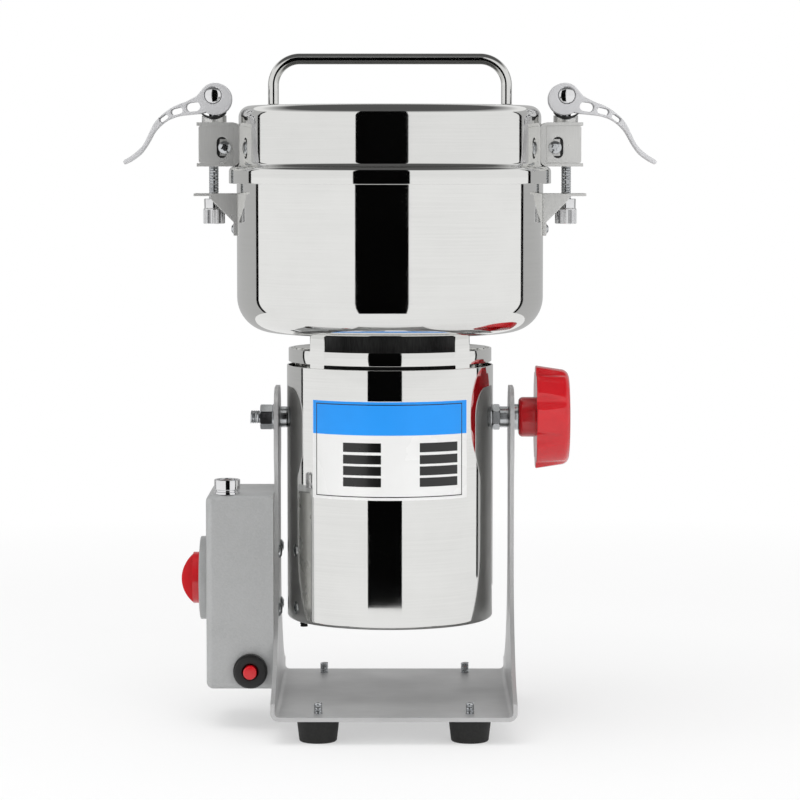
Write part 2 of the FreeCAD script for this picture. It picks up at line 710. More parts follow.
dial_blank = cylinder("dial_blank", s.dial_radius, s.dial_thick,
                      (BOX_OUT, s.box_shift, DIAL_Z), AGAINST_X)
dial_bore = cylinder("dial_bore", s.timer_shaft_radius + s.hole_gap,
                     s.dial_thick + 2 * PAST, (BOX_OUT + PAST, s.box_shift, DIAL_Z), AGAINST_X)
timer_blank = cylinder("timer_blank", s.timer_radius, s.timer_depth,
                       (BOX_OUT + s.box_wall, s.box_shift, DIAL_Z), ALONG_X)
shaft_in = s.timer_depth / 2
timer_socket = cylinder("timer_socket", s.timer_shaft_radius + s.bore_gap, shaft_in + PAST,
                        (BOX_OUT + s.box_wall - PAST, s.box_shift, DIAL_Z), ALONG_X)
knob_face = BOX_OUT - s.dial_thick - s.knob_gap
shaft_out = s.box_wall + s.dial_thick + s.knob_gap + s.knob_disc_thick
timer_shaft = cylinder("timer_shaft", s.timer_shaft_radius, shaft_out + shaft_in - s.fit_gap,
                       (knob_face - s.knob_disc_thick, s.box_shift, DIAL_Z), ALONG_X)
knob_disc = cylinder("knob_disc", s.knob_disc_radius, s.knob_disc_thick,
                     (knob_face, s.box_shift, DIAL_Z), AGAINST_X)
# The grip is a bar across the disc whose top edge is an arc.
fin_half = s.knob_disc_radius - 1.0
fin_arc = (fin_half * fin_half + s.knob_fin_rise * s.knob_fin_rise) / (2 * s.knob_fin_rise)
knob_fin = padded("knob_fin", "XZ_Plane", [
    (0, -fin_half),
    (s.knob_fin_rise, 0, fin_arc, True),
    (0, fin_half, fin_arc, True),
], s.knob_fin_width)
place(knob_fin, (knob_face - s.knob_disc_thick, s.box_shift, DIAL_Z),
      Rotation(Vector(0, 0, 1), 180))

breaker_low = BREAKER_X - s.breaker_side / 2
breaker_blank = block("breaker_blank",
                      (breaker_low, BOX_FRONT + s.box_wall, BREAKER_Z - s.breaker_side / 2),
                      (s.breaker_side, s.breaker_depth, s.breaker_side))
button_in = s.button_travel * 2 + s.box_wall
breaker_socket = cylinder("breaker_socket", s.button_radius + s.bore_gap * 2,
                          s.box_wall + button_in + s.button_travel,
                          (BREAKER_X, BOX_FRONT, BREAKER_Z), ALONG_Y)
breaker_ring_blank = cylinder("breaker_ring_blank", s.breaker_ring_radius,
                              s.breaker_ring_thick, (BREAKER_X, BOX_FRONT, BREAKER_Z),
                              AGAINST_Y)
breaker_ring_bore = cylinder("breaker_ring_bore", s.button_radius + s.hole_gap,
                             s.breaker_ring_thick + 2 * PAST,
                             (BREAKER_X, BOX_FRONT + PAST, BREAKER_Z), AGAINST_Y)
reset_button = cylinder("reset_button", s.button_radius,
                        s.button_out + s.breaker_ring_thick + button_in,
                        (BREAKER_X, BOX_FRONT + button_in, BREAKER_Z), AGAINST_Y)

inlet_socket = turned("inlet_socket", [
    (s.inlet_radius - s.inlet_wall, 0),
    (s.inlet_radius, 0),
    (s.inlet_radius, s.inlet_height),
    (s.inlet_radius - s.inlet_wall, s.inlet_height),
], (INLET_X, INLET_Y, BOX_TOP))
inlet_core_top = s.inlet_height * 0.55
inlet_blank = cylinder("inlet_blank", s.inlet_radius - s.inlet_wall,
                       s.inlet_tail + inlet_core_top, (INLET_X, INLET_Y, BOX_TOP - s.inlet_tail))
pins = []
pin_sinks = []
for angle, across, along in around(3, s.pin_circle, 90.0):
    spot = (INLET_X + across, INLET_Y + along, BOX_TOP)
    pins.append(cylinder("inlet_pin", s.pin_radius, s.inlet_height * 0.9, spot))
    pin_sinks.append(cylinder("pin_sink", s.pin_radius, s.inlet_height * 0.9, spot))

# Tilt pivot: a fixed stud on the left, and a stud with the lock knob on the right.
stud_inner = CAN_INSIDE - s.trunnion_width
left_inner = ARM_LEFT + s.stand_plate + s.side_gap
right_inner = ARM_RIGHT - s.stand_plate - s.side_gap
pivot_stud = cylinder("pivot_stud", s.stud_radius, s.stud_left_end - stud_inner,
                      (-stud_inner, 0, PIVOT), AGAINST_X)
stud_bore = s.stud_radius
left_bush = cut(
    "left_bush",
    cylinder("left_bush_blank", s.spacer_radius, -s.can_radius - left_inner,
             (left_inner, 0, PIVOT), ALONG_X),
    cylinder("left_bush_bore", stud_bore, s.stand_width, (left_inner - PAST, 0, PIVOT), ALONG_X),
)
flange_face = s.can_radius + s.flange_nut_thick
lock_bore = s.stud_radius + s.bore_gap
right_bush = cut(
    "right_bush",
    cylinder("right_bush_blank", s.spacer_radius, right_inner - flange_face,
             (flange_face, 0, PIVOT), ALONG_X),
    cylinder("right_bush_bore", lock_bore, s.stand_width / 2, (0, 0, PIVOT), ALONG_X),
)
left_nut_face = ARM_LEFT - s.washer_thick
left_nut = cut(
    "left_nut",
    hexagon("left_nut_blank", s.hex_radius, s.hex_thick, (left_nut_face, 0, PIVOT), AGAINST_X),
    cylinder("left_nut_bore", stud_bore, s.hex_thick + 2 * PAST,
             (left_nut_face + PAST, 0, PIVOT), AGAINST_X),
)
right_nut = cut(
    "right_nut",
    hexagon("right_nut_blank", s.flange_nut_radius, s.flange_nut_thick,
            (s.can_radius, 0, PIVOT), ALONG_X),
    cylinder("right_nut_bore", lock_bore, s.stand_width / 2, (0, 0, PIVOT), ALONG_X),
)
washers = []
for face, thick, turn in ((ARM_LEFT, s.washer_thick, AGAINST_X),
                          (ARM_RIGHT, s.washer_right_thick, ALONG_X)):
    washer_blank = cylinder("washer_blank", s.washer_radius, thick - s.side_gap,
                            (face, 0, PIVOT), turn)
    washer_bore = cylinder("washer_bore", s.stud_radius + 2 * s.bore_gap, 2 * s.stand_width,
                           (-s.stand_width, 0, PIVOT), ALONG_X)
    washers.append(cut("pivot_washer", washer_blank, washer_bore))
hub_face = ARM_RIGHT + s.washer_right_thick
knob_inner = hub_face + s.hub_length
lock_inner = s.can_radius - s.lock_stud_reach
lock_stud = cylinder("lock_stud", s.stud_radius,
                     knob_inner + s.lock_knob_width / 2 - lock_inner,
                     (lock_inner, 0, PIVOT), ALONG_X)
outer_radius = s.lock_knob_radius - s.lock_knob_taper
lock_blank = turned("lock_blank", [
    (0, 0),
    (s.hub_radius, 0),
    (s.hub_radius, s.hub_length),
    (s.lock_knob_radius, s.hub_length),
    (outer_radius, s.hub_length + s.lock_knob_width - s.lock_knob_round),
    (outer_radius - s.lock_knob_round, s.hub_length + s.lock_knob_width,
     s.lock_knob_round, True),
    (0, s.hub_length + s.lock_knob_width),
], (hub_face, 0, PIVOT), ALONG_X)
grooves = []
lobes = int(s.lobe_count.value)
for angle, across, along in around(lobes, s.lobe_cut_out, 180 / lobes):
    grooves.append(cylinder("knob_groove", s.lobe_cut_radius, s.lock_knob_width + 2 * PAST,
                            (knob_inner - PAST, across, PIVOT + along), ALONG_X))
lock_socket = cylinder("lock_socket", s.stud_radius, s.hub_length + s.lock_knob_width / 2 + PAST,
                       (hub_face - PAST, 0, PIVOT), ALONG_X)

# Motor can, with its turned-in bottom, and the vented cover that lies on it.
can_height = s.can_under + s.can_over
can_shell = turned("can_shell", [
    (s.can_radius - s.can_lip, 0),
    (s.can_radius - s.can_round, 0),
    (s.can_radius, s.can_round, s.can_round, True),
    (s.can_radius, can_height),
    (CAN_INSIDE, can_height),
    (CAN_INSIDE, s.can_round),
    (s.can_radius - s.can_round, s.can_wall, s.can_round - s.can_wall, False),
    (s.can_radius - s.can_lip, s.can_wall),
], (0, 0, CAN_LOW))
can_stud_hole = cylinder("can_stud_hole", lock_bore, 2 * s.can_radius + 2 * PAST,
                         (-s.can_radius - PAST, 0, PIVOT), ALONG_X)
gland_hole = cylinder("gland_hole", s.gland_radius, s.can_wall + 2 * PAST,
                      (-s.gland_out, 0, CAN_LOW - PAST))
cover_floor = CAN_LOW + s.can_wall
cover_blank = cylinder("cover_blank", s.cover_radius, s.cover_thick, (0, 0, cover_floor))
vents = []
for angle, across, along in around(int(s.vent_count.value), s.vent_radius):
    vent = block("vent", (across, along, cover_floor - PAST),
                 (s.vent_length, s.vent_width, s.cover_thick + 2 * PAST))
    vent.Placement = Placement(vent.Placement.Base, Rotation(Vector(0, 0, 1), angle))
    vents.append(vent)
cover_screws = []
screw_holes = []
for angle, across, along in around(4, s.cover_screw_circle, 45.0):
    shank = cylinder("cover_screw_shank", s.cheek_screw_radius, s.can_wall + s.cover_thick,
                     (across, along, CAN_LOW))
    head = cylinder("cover_screw_head", 2 * s.cheek_screw_radius, s.cover_thick,
                    (across, along, CAN_LOW - s.cover_thick))
    cover_screws.append(fuse("cover_screw", shank, head))
    screw_holes.append(cylinder("cover_screw_hole", s.cheek_screw_radius,
                                s.can_wall + s.cover_thick + 2 * PAST,
                                (across, along, CAN_LOW - PAST)))
cover_gland_hole = cylinder("cover_gland_hole", 2 * s.gland_radius, s.cover_thick + 2 * PAST,
                            (-s.gland_out, 0, cover_floor - PAST))
gland_neck = cylinder("gland_neck", s.gland_radius, s.gland_drop + 3 * s.can_wall,
                      (-s.gland_out, 0, CAN_LOW - s.gland_drop))
gland_collar = cylinder("gland_collar", s.gland_radius * 1.5, s.can_wall,
                        (-s.gland_out, 0, CAN_LOW - s.can_wall))
cable_gland = fuse("cable_gland", gland_neck, gland_collar)

# Trunnion ring: it hangs the can and the motor on the two studs.
ring_low = PIVOT - s.trunnion_height / 2
ring_top = ring_low + s.trunnion_height
trunnion = cut("trunnion", ring("trunnion_blank", CAN_INSIDE, CAN_INSIDE - s.trunnion_width,
                                ring_low, s.trunnion_height),
               cylinder("trunnion_left_bore", stud_bore, s.can_radius,
                        (0, 0, PIVOT), AGAINST_X),
               cylinder("trunnion_right_bore", lock_bore, s.can_radius, (0, 0, PIVOT), ALONG_X))

# Motor housing: a lower bell, and an upper bell whose neck carries the bowl.
bell_inside = s.bell_radius - s.bell_wall
stator_low = CAN_LOW + s.stator_low
stator_top = stator_low + s.stator_length
bell_low = CAN_LOW + s.bell_low
seat_depth = s.bearing_width + s.bearing_low - s.bell_low
bore_through = s.shaft_radius + 1.5
end_bell_lower = turned("end_bell_lower", [
    (bore_through, 0),
    (s.bell_radius, 0),
    (s.bell_radius, s.stator_low - s.bell_low),
    (bell_inside, s.stator_low - s.bell_low),
    (bell_inside, seat_depth),
    (s.bearing_radius, seat_depth),
    (s.bearing_radius, s.bearing_low - s.bell_low),
    (bore_through, s.bearing_low - s.bell_low),
], (0, 0, bell_low))
upper_low = stator_top
flange_low = ring_top - upper_low
flange_top = flange_low + s.bell_flange
neck_top = BOWL_LOW - upper_low
bearing_top = neck_top - s.bearing_high_drop
neck_inside = s.bell_neck_radius - s.bell_wall
hub_outside = s.bearing_radius + s.bell_wall
end_bell_upper = turned("end_bell_upper", [
    (bell_inside, 0),
    (s.bell_radius, 0),
    (s.bell_radius, flange_low),
    (CAN_INSIDE - s.fit_gap, flange_low),
    (CAN_INSIDE - s.fit_gap, flange_top),
    (s.bell_neck_radius, flange_top),
    (s.bell_neck_radius, neck_top),
    (s.shaft_hole, neck_top),
    (s.shaft_hole, neck_top - s.bell_roof),
    (bore_through, neck_top - s.bell_roof),
    (bore_through, bearing_top),
    (s.bearing_radius, bearing_top),
    (s.bearing_radius, bearing_top - s.bearing_width),
    (hub_outside, bearing_top - s.bearing_width),
    (hub_outside, neck_top - 2 * s.bell_roof),
    (neck_inside, neck_top - 2 * s.bell_roof),
    (neck_inside, flange_low),
    (bell_inside, flange_low),
], (0, 0, upper_low))
shaft_seal = ring("shaft_seal", s.shaft_hole, s.shaft_radius + s.bore_gap,
                  BOWL_LOW - s.bell_roof, s.bell_roof + s.bowl_wall)
stator_core = ring("stator_core", s.bell_radius, s.stator_bore, stator_low, s.stator_length)
coils = []
for height in (stator_low - s.coil_thick, stator_top + s.coil_thick):
    coil = doc.addObject("Part::Torus", "field_coil")
    tie(coil, "Radius1", s.coil_radius)
    tie(coil, "Radius2", s.coil_thick)
    coils.append(place(coil, (0, 0, height)))
brush_z = CAN_LOW + s.commutator_low + s.commutator_length / 2
brush_start = s.commutator_radius + s.bore_gap * 2
holders = []
brushes = []
for turn, name in ((ALONG_Y, "rear"), (AGAINST_Y, "front")):
    sign = 1 if name == "rear" else -1
    half = s.brush_side / 2
    inner_half = half - s.brush_wall
    holder_end = root(bell_inside * bell_inside - half * half)
    reach = holder_end - brush_start - s.brush_wall
    low_y = brush_start + s.brush_wall if sign > 0 else -holder_end
    holder = block(name + "_holder_blank", (-half, low_y, brush_z - half),
                   (s.brush_side, reach, s.brush_side))
    hollow = block(name + "_holder_space", (-inner_half, low_y - PAST, brush_z - inner_half),
                   (2 * inner_half, reach + 2 * PAST, 2 * inner_half))
    holders.append(cut(name + "_holder", holder, hollow))
    brush_low = brush_start if sign > 0 else -brush_start - s.brush_side * 2
    brushes.append(block(name + "_brush", (-inner_half, brush_low, brush_z - inner_half),
                         (2 * inner_half, s.brush_side * 2, 2 * inner_half)))
bearings = [
    ring("bearing_low", s.bearing_radius, s.shaft_radius + s.bore_gap,
         CAN_LOW + s.bearing_low, s.bearing_width),
    ring("bearing_high", s.bearing_radius, s.shaft_radius + s.bore_gap,
         BOWL_LOW - s.bearing_high_drop - s.bearing_width, s.bearing_width),
]

# Rotor: everything that the motor spins.
shaft_low = CAN_LOW + s.fan_low - s.fan_plate
shoulder_low = BOWL_FLOOR + s.shoulder_gap
blade_low = shoulder_low + s.shoulder_height
blade_high = blade_low + s.blade_thick + s.blade_gap
nut_low = blade_high + s.blade_thick
shaft_end = nut_low + s.blade_nut_height + 2.0
motor_shaft = turned("motor_shaft", [
    (0, shaft_low),
    (s.shaft_radius, shaft_low),
    (s.shaft_radius, shoulder_low),
    (s.shoulder_radius, shoulder_low),
    (s.shoulder_radius, blade_low),
    (s.shaft_radius, blade_low),
    (s.shaft_radius, shaft_end),
    (0, shaft_end),
])
rotor_core = ring("rotor_core", s.rotor_radius, s.shaft_radius,
                  stator_low + (s.stator_length - s.rotor_length) / 2, s.rotor_length)
commutator = ring("commutator", s.commutator_radius, s.shaft_radius,
                  CAN_LOW + s.commutator_low, s.commutator_length)
fan_low = CAN_LOW + s.fan_low
fan_parts = [
    cylinder("fan_disc", s.fan_radius, s.fan_plate, (0, 0, fan_low)),
    cylinder("fan_hub", 2 * s.shaft_radius, s.fan_height, (0, 0, fan_low)),
]
for angle, across, along in around(int(s.fan_blades.value), s.shaft_radius):
    blade = block("fan_blade", (across, along, fan_low),
                  (s.fan_radius - s.shaft_radius - 1.0, s.fan_plate, s.fan_height))
    blade.Placement = Placement(blade.Placement.Base, Rotation(Vector(0, 0, 1), angle))
    fan_parts.append(blade)
fan_bore = cylinder("fan_bore", s.shaft_radius, s.fan_height + 2 * PAST, (0, 0, fan_low - PAST))
half_span = s.blade_span / 2
bend_start = half_span - s.blade_bend


def blade(name, low, bent):
    """A flat bar with its corners cut back to cutting edges, with its tips bent up or flat."""
    rise = s.blade_bend if bent else 0.0
    side = padded(name + "_side", "XZ_Plane", [
        (-half_span, rise),
        (-bend_start, 0),
        (bend_start, 0),
        (half_span, rise),
        (half_span, rise + s.blade_thick),
        (bend_start, s.blade_thick),
        (-bend_start, s.blade_thick),
        (-half_span, rise + s.blade_thick),
    ], s.blade_width, (0, 0, low))
    narrow = s.blade_width / 2
    plan = padded(name + "_plan", "XY_Plane", [
        (-half_span - PAST, -narrow / 4),
        (-s.shoulder_radius, -narrow),
        (s.shoulder_radius * 2, -narrow),
        (half_span + PAST, 0),
        (half_span + PAST, narrow / 4),
        (s.shoulder_radius, narrow),
        (-s.shoulder_radius * 2, narrow),
        (-half_span - PAST, 0),
    ], 4 * (s.blade_bend + s.blade_thick), (0, 0, low))
    return common(name, side, plan)


upper_blade = blade("upper_blade", blade_high, True)
lower_blade = blade("lower_blade", blade_low, False)
crossed_blade = doc.addObject("Part::Compound", "crossed_blade")
crossed_blade.Links = [lower_blade]
crossed_blade.Placement = Placement(Vector(0, 0, 0), Rotation(Vector(0, 0, 1), 90))
blade_spacer = cylinder("blade_spacer", s.shoulder_radius, s.blade_gap,
                        (0, 0, blade_low + s.blade_thick))
blade_bores = [cylinder("blade_bore", s.shaft_radius, 4 * s.blade_bend, (0, 0, blade_low - PAST))
               for number in range(3)]
blade_nut = cut(
    "blade_nut",
    hexagon("blade_nut_blank", s.blade_nut_radius, s.blade_nut_height, (0, 0, nut_low)),
    cylinder("blade_nut_bore", s.shaft_radius, s.blade_nut_height + 2 * PAST,
             (0, 0, nut_low - PAST)),
)

# Neck collar: a sheet ring with two rows of windows, which leave four posts.
collar_radius = CAN_INSIDE - s.fit_gap
collar_low = PIVOT + s.trunnion_height / 2 + s.bell_flange
collar_shell = ring("collar_shell", collar_radius, collar_radius - s.collar_wall, collar_low,
                    BOWL_LOW - collar_low)
band_low = BOWL_LOW - s.window_top_height - s.ring_band
window_blanks = []
for low, height in ((BOWL_LOW - s.window_top_height, s.window_top_height + PAST),
                    (band_low - s.window_low_height, s.window_low_height)):
    blank = cylinder("window_blank", collar_radius + PAST, height, (0, 0, low))
    for angle in (45, 135):
        post = block("window_post", (0, 0, low - PAST),
                     (2 * s.can_radius, s.post_width, height + 2 * PAST))
        turn = Rotation(Vector(0, 0, 1), angle)
        slip_x = -s.can_radius * cosine(angle) + s.post_width / 2 * sine(angle)
        slip_y = -s.can_radius * sine(angle) - s.post_width / 2 * cosine(angle)
        place(post, (slip_x, slip_y, low - PAST), turn)
        blank = cut("window_tool", blank, post)
    window_blanks.append(blank)

# Bowl, with a flange that the lid's seal presses on.
bowl_form = turned("bowl_form", [
    (0, 0),
    (s.bowl_radius - s.bowl_round, 0),
    (s.bowl_radius, s.bowl_round, s.bowl_round, True),
    (s.bowl_radius, s.bowl_depth),
    (FLANGE_RADIUS, s.bowl_depth),
    (FLANGE_RADIUS, s.bowl_depth + s.bowl_wall),
    (0, s.bowl_depth + s.bowl_wall),
], (0, 0, BOWL_LOW))
bowl_space = turned("bowl_space", [
    (0, s.bowl_wall),
    (s.bowl_radius - s.bowl_round, s.bowl_wall),
    (s.bowl_radius - s.bowl_wall, s.bowl_round, s.bowl_round - s.bowl_wall, True),
    (s.bowl_radius - s.bowl_wall, s.bowl_depth + s.bowl_wall + PAST),
    (0, s.bowl_depth + s.bowl_wall + PAST),
], (0, 0, BOWL_LOW))
bowl_hole = cylinder("bowl_hole", s.shaft_hole, s.bowl_wall + 2 * PAST, (0, 0, BOWL_LOW - PAST))

# Lid: a deep cap with an S-shaped shoulder above its rim.
curve_in = (RIM_RADIUS - LID_RADIUS) / 2
curve_up = s.shoulder_rise / 2
curve = (curve_in * curve_in + curve_up * curve_up) / (2 * curve_in)
mid_radius = RIM_RADIUS - curve_in
mid_height = s.rim_height + curve_up
shoulder_top = s.rim_height + s.shoulder_rise
lid_form = turned("lid_form", [
    (0, 0),
    (RIM_RADIUS, 0),
    (RIM_RADIUS, s.rim_height),
    (mid_radius, mid_height, curve, True),
    (LID_RADIUS, shoulder_top, curve, False),
    (LID_RADIUS, s.lid_height - s.lid_round),
    (LID_RADIUS - s.lid_round, s.lid_height, s.lid_round, True),
    (0, s.lid_height),
], (0, 0, RIM_LOW))
lean = (curve - curve_in) / curve
tall = curve_up / curve
lid_space = turned("lid_space", [
    (0, -PAST),
    (RIM_RADIUS - s.lid_wall, -PAST),
    (RIM_RADIUS - s.lid_wall, s.rim_height),
    (mid_radius - s.lid_wall * lean, mid_height - s.lid_wall * tall, curve - s.lid_wall, True),
    (LID_RADIUS - s.lid_wall, shoulder_top, curve + s.lid_wall, False),
    (LID_RADIUS - s.lid_wall, s.lid_height - s.lid_round),
    (LID_RADIUS - s.lid_round, s.lid_height - s.lid_wall, s.lid_round - s.lid_wall, True),
    (0, s.lid_height - s.lid_wall),
], (0, 0, RIM_LOW))
leg_tools = [cylinder("leg_hole", s.handle_radius, 2 * PAST + s.lid_wall,
                      (side * s.handle_half, 0, LID_TOP - s.lid_wall - PAST)) for side in (-1, 1)]
lid = cut("lid", lid_form, lid_space, *leg_tools)
seal_outer = RIM_RADIUS - s.lid_wall
lid_seal = cut("lid_seal", ring("seal_blank", seal_outer, seal_outer - s.seal_width,
                                FLANGE + s.bowl_wall, s.seal_height), lid)

# Handle: one round rod with two bends.
handle_top = LID_TOP + s.handle_rise - s.handle_radius
leg_top = handle_top - s.handle_bend
bar_half = s.handle_half - s.handle_bend
handle_parts = [cylinder("handle_bar", s.handle_radius, 2 * bar_half,
                         (-bar_half, 0, handle_top), ALONG_X)]
for side in (-1, 1):
    handle_parts.append(cylinder("handle_leg", s.handle_radius,
                                 leg_top - LID_TOP + s.lid_wall,
                                 (side * s.handle_half, 0, LID_TOP - s.lid_wall)))
    bend = doc.addObject("Part::Torus", "handle_bend")
    tie(bend, "Radius1", s.handle_bend)
    tie(bend, "Radius2", s.handle_radius)
    bend.Angle3 = 90
    turn = AGAINST_Y if side > 0 else Rotation(Vector(0, 0, 1), 180).multiply(AGAINST_Y)
    handle_parts.append(place(bend, (side * bar_half, 0, leg_top), turn))

# Label: a thin curved plate, left bare.
label_blank = doc.addObject("Part::Cylinder", "label_blank")
tie(label_blank, "Radius", s.can_radius + s.label_thick)
tie(label_blank, "Height", s.label_height)
tie(label_blank, "Angle", s.label_angle)
label_low = PIVOT - s.label_drop - s.label_height / 2
place(label_blank, (0, 0, label_low), Rotation(Vector(0, 0, 1), -90 - s.label_angle.value / 2))
label_space = cylinder("label_space", s.can_radius, s.label_height + 2 * PAST,
                       (0, 0, label_low - PAST))

# Right clamp: an upper bracket on the lid, the rod that hangs in it, and a fork on the bowl.
back_x = LID_RADIUS + s.bracket_back
bracket_x = LID_RADIUS + s.bracket_reach
weld_x = LID_RADIUS - s.lid_wall
bracket_side = padded("bracket_side", "XZ_Plane", [
    (bracket_x, 0),
    (bracket_x, s.bracket_plate),
    (back_x, s.bracket_plate),
    (back_x, s.bracket_height - s.bracket_plate),
    (bracket_x, s.bracket_height - s.bracket_plate),
    (bracket_x, s.bracket_height),
    (weld_x + s.bracket_round, s.bracket_height),
    (weld_x, s.bracket_height - s.bracket_round, s.bracket_round, True),
    (weld_x, s.bracket_round),
    (weld_x + s.bracket_round, 0, s.bracket_round, True),
], s.bracket_width, (0, 0, BRACKET_LOW))
cheek_half = s.bracket_width / 2
lug_z = LID_TOP - s.slot_drop
lug_length = s.cheek_screw_out + 2 * s.cheek_screw_radius - s.bracket_back
lug = block("bracket_lug", (back_x, s.cheek_thick - cheek_half, lug_z - s.lug_height / 2),
            (lug_length, s.bracket_width - 2 * s.cheek_thick, s.lug_height))
slot_end = ROD_X - s.rod_slot / 2


def rod_slot(name, low, height, reach):
    """A slot that is round at the rod and open outwards."""
    nose = cylinder(name + "_nose", s.rod_slot / 2, height, (ROD_X, 0, low))
    lane = block(name + "_lane", (ROD_X, -s.rod_slot / 2, low), (reach, s.rod_slot, height))
    return fuse(name, nose, lane)


bracket_slot = rod_slot("bracket_slot", BRACKET_LOW - PAST, s.bracket_height + 2 * PAST,
                        s.bracket_reach)
bracket_right = cut("bracket_right", fuse("bracket_blank", bracket_side, lug), lid_form,
                    bracket_slot)
cheek_height = s.bracket_height - 2 * s.bracket_plate
cheek_plate = padded("cheek_plate", "XZ_Plane", [
    (0, 0),
    (s.cheek_reach - s.cheek_round, 0),
    (s.cheek_reach, s.cheek_round, s.cheek_round, True),
    (s.cheek_reach, cheek_height - s.cheek_round),
    (s.cheek_reach - s.cheek_round, cheek_height, s.cheek_round, True),
    (0, cheek_height),
], s.cheek_thick, (back_x, 0, BRACKET_LOW + s.bracket_plate))
slot_x = LID_RADIUS + s.slot_out
cheek_slot = oblong("cheek_slot", s.slot_height, s.slot_width, s.bracket_width)
place(cheek_slot, (slot_x, 0, lug_z), Rotation(Vector(0, 1, 0), 90))
slotted_cheek = cut("slotted_cheek", cheek_plate, cheek_slot)
cheeks = []
cheek_screws = []
screw_x = LID_RADIUS + s.cheek_screw_out
for side in (-1, 1):
    cheek = doc.addObject("Part::Compound", "cheek_copy")
    cheek.Links = [slotted_cheek]
    place(cheek, (0, side * (cheek_half - s.cheek_thick / 2), 0))
    cheeks.append(both_sides("cheek_pair", cheek))
    turn = ALONG_Y if side > 0 else AGAINST_Y
    head = cylinder("cheek_screw_head", s.cheek_head_radius, s.cheek_head_height,
                    (screw_x, side * cheek_half, lug_z), turn)
    shank = cylinder("cheek_screw_shank", s.cheek_screw_radius, s.cheek_head_radius * 2,
                     (screw_x, side * (cheek_half - s.cheek_head_radius * 2), lug_z), turn)
    cheek_screws.append(both_sides("cheek_screw_pair", fuse("cheek_screw", head, shank)))
lug_bore = cylinder("lug_bore", s.cheek_screw_radius, s.bracket_width,
                    (screw_x, -cheek_half, lug_z), ALONG_Y)
bracket_right = cut("bracket_right", bracket_right, lug_bore)

seat_blank = cylinder("seat_blank", s.seat_radius, s.seat_height, (ROD_X, 0, SEAT_LOW))
trough = cylinder("trough", s.trough_radius, 3 * s.seat_radius,
                  (ROD_X, -1.5 * s.seat_radius, SWING), ALONG_Y)
seat_slot = rod_slot("seat_slot", SEAT_LOW - PAST, s.seat_height + 2 * PAST, 2 * s.seat_radius)
seat_ring = cut("seat_ring", seat_blank, trough, seat_slot)

fork_back_x = s.bowl_radius + s.fork_plate
fork_side = padded("fork_side", "XZ_Plane", [
    (s.bowl_radius - s.bowl_wall, 0),
    (fork_back_x, 0),
    (fork_back_x, s.fork_back - s.fork_plate),
    (ROD_X + s.fork_reach, s.fork_back - s.fork_plate),
    (ROD_X + s.fork_reach, s.fork_back),
    (s.bowl_radius - s.bowl_wall, s.fork_back),
], s.fork_width, (0, 0, FORK_TOP - s.fork_back))
gusset = padded("gusset", "XZ_Plane", [
    (fork_back_x, -s.gusset_rise),
    (ROD_X + s.fork_plate, -s.fork_plate),
    (ROD_X + s.fork_plate, 0),
    (fork_back_x, 0),
], s.fork_width, (0, 0, FORK_LOW))
gusset_space = block("gusset_space", (fork_back_x, s.fork_plate - s.fork_width / 2,
                                      FORK_LOW - s.gusset_rise - PAST),
                     (s.fork_reach + s.clamp_out, s.fork_width - 2 * s.fork_plate,
                      s.gusset_rise + PAST))
fork_slot = rod_slot("fork_slot", FORK_LOW - PAST, s.fork_plate + 2 * PAST,
                     s.fork_reach + PAST)
fork_blank = fuse("fork_blank", fork_side, cut("gussets", gusset, gusset_space))
fork_right = cut("fork_right", fork_blank, bowl_form, fork_slot)
rivets = []
for side in (-1, 1):
    spot = (fork_back_x, side * s.fork_width / 4, FORK_TOP - s.fork_back + s.rivet_drop)
    rivets.append(both_sides("rivet_pair", cylinder("rivet", s.rivet_radius, s.rivet_height,
                                                    spot, ALONG_X)))

# The rod and its cross barrel are one forging, which carries a saddle, lever and nut.
rod_low = NUT_TOP - s.nut_neck - s.nut_length - s.rod_tip
rod_shank = cylinder("rod_shank", s.rod_radius, PIN - rod_low, (ROD_X, 0, rod_low))
rod_barrel = cylinder("rod_barrel", s.pin_barrel, s.lever_width + 2 * s.saddle_gap,
                      (ROD_X, -s.lever_width / 2 - s.saddle_gap, PIN), ALONG_Y)
rod_right = fuse("rod_right", rod_shank, rod_barrel)

saddle_blank = cylinder("saddle_blank", s.seat_radius, s.seat_height + s.saddle_over,
                        (ROD_X, 0, SEAT_LOW))
saddle_round = cylinder("saddle_round", s.trough_radius - s.saddle_gap, 3 * s.seat_radius,
                        (ROD_X, -1.5 * s.seat_radius, SWING), ALONG_Y)
cam_throw = root(s.cam_in * s.cam_in + s.cam_down * s.cam_down)
cam_space = cylinder("cam_space", s.cam_radius + cam_throw + s.cam_room, 3 * s.seat_radius,
                     (ROD_X, -1.5 * s.seat_radius, PIN), ALONG_Y)
saddle_bore = cylinder("saddle_bore", s.rod_radius, 4 * s.seat_height,
                       (ROD_X, 0, SEAT_LOW - PAST))
saddle_right = cut("saddle_right", common("saddle_form", saddle_blank, saddle_round),
                   cam_space, saddle_bore)

